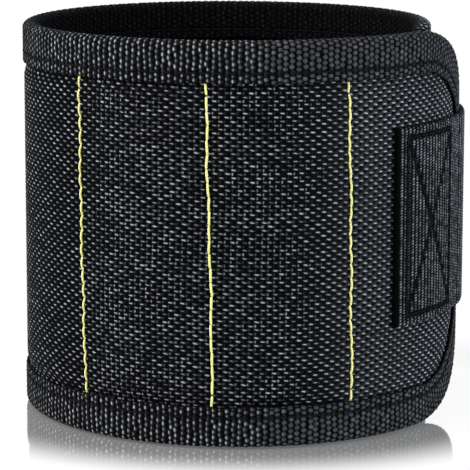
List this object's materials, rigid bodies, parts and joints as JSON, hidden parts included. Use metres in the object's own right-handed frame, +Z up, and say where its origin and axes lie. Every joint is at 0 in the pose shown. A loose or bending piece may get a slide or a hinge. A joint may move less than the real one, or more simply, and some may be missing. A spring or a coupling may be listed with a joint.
{
  "type": "magnetic wristband",
  "caption": "Padded fabric wristband with magnets sewn in to hold screws and bits, a rounded overlapping flap and a hook-and-loop strap, rolled shut on its edge.",
  "frame": {"origin": "under the middle of the rolled band, on the plane that its lower edge stands on", "axes": "+Z up along the roll, the sewn front faces -Y, the flap and strap are at +X"},
  "size_m": [0.1032, 0.099, 0.09],
  "materials": {
    "cover": "coarse ballistic-weave nylon, light glints on black yarn",
    "binding": "ribbed binding tape",
    "lining": "ribbed spacer mesh",
    "webbing": "fine ribbed webbing",
    "hook": "moulded hooks",
    "loop": "napped loop pile",
    "magnet": "nickel plated",
    "thread": "twisted sewing thread"
  },
  "bodies": {
    "band_left": {"outer_cover_left": "cover", "padded_lining_left": "lining", "bottom_binding_left": "binding", "top_binding_left": "binding", "magnet_3_1": "magnet", "magnet_3_2": "magnet", "magnet_3_3": "magnet", "magnet_4_1": "magnet", "magnet_4_2": "magnet", "magnet_4_3": "magnet", "magnet_seam_3": "thread", "magnet_seam_4": "thread", "magnet_seam_5": "thread"},
    "band_front_left": {"outer_cover_front_left": "cover", "padded_lining_front_left": "lining", "bottom_binding_front_left": "binding", "top_binding_front_left": "binding", "magnet_2_1": "magnet", "magnet_2_2": "magnet", "magnet_2_3": "magnet", "magnet_seam_2": "thread"},
    "band_front_right": {"outer_cover_front_right": "cover", "padded_lining_front_right": "lining", "bottom_binding_front_right": "binding", "top_binding_front_right": "binding", "magnet_1_1": "magnet", "magnet_1_2": "magnet", "magnet_1_3": "magnet", "magnet_seam_1": "thread"},
    "band_flap": {"outer_cover_flap": "cover", "padded_lining_flap": "lining", "edge_binding_flap": "binding", "strap_anchor": "webbing"},
    "strap": {"strap_tongue": "webbing", "hook_tape": "hook"},
    "band_back": {"outer_cover_back": "cover", "padded_lining_back": "lining", "bottom_binding_back": "binding", "top_binding_back": "binding", "loop_patch_back": "loop"},
    "band_inner_end": {"outer_cover_inner_end": "cover", "padded_lining_inner_end": "lining", "edge_binding_inner_end": "binding", "loop_patch_inner_end": "loop"}
  },
  "joints": [
    {"name": "front_left_fold", "type": "hinge", "parent": "band_left", "child": "band_front_left", "pos_m": [-0.03758, -0.03452, 0.045], "axis": [0, 0, -1], "range_deg": [0, 40]},
    {"name": "front_right_fold", "type": "hinge", "parent": "band_front_left", "child": "band_front_right", "pos_m": [-0.00921, -0.04912, 0.045], "axis": [0, 0, -1], "range_deg": [0, 40]},
    {"name": "flap_fold", "type": "hinge", "parent": "band_front_right", "child": "band_flap", "pos_m": [0.02229, -0.04402, 0.045], "axis": [0, 0, -1], "range_deg": [0, 70]},
    {"name": "strap_peel", "type": "hinge", "parent": "band_flap", "child": "strap", "pos_m": [0.05174, 0.0041, 0.045], "axis": [0, 0, -1], "range_deg": [0, 110]},
    {"name": "back_tighten", "type": "hinge", "parent": "band_left", "child": "band_back", "pos_m": [0.00077, 0.04348, 0.045], "axis": [0, 0, -1], "range_deg": [0, 20]},
    {"name": "inner_end_tighten", "type": "hinge", "parent": "band_back", "child": "band_inner_end", "pos_m": [0.02616, 0.03146, 0.045], "axis": [0, 0, -1], "range_deg": [0, 20]}
  ]
}
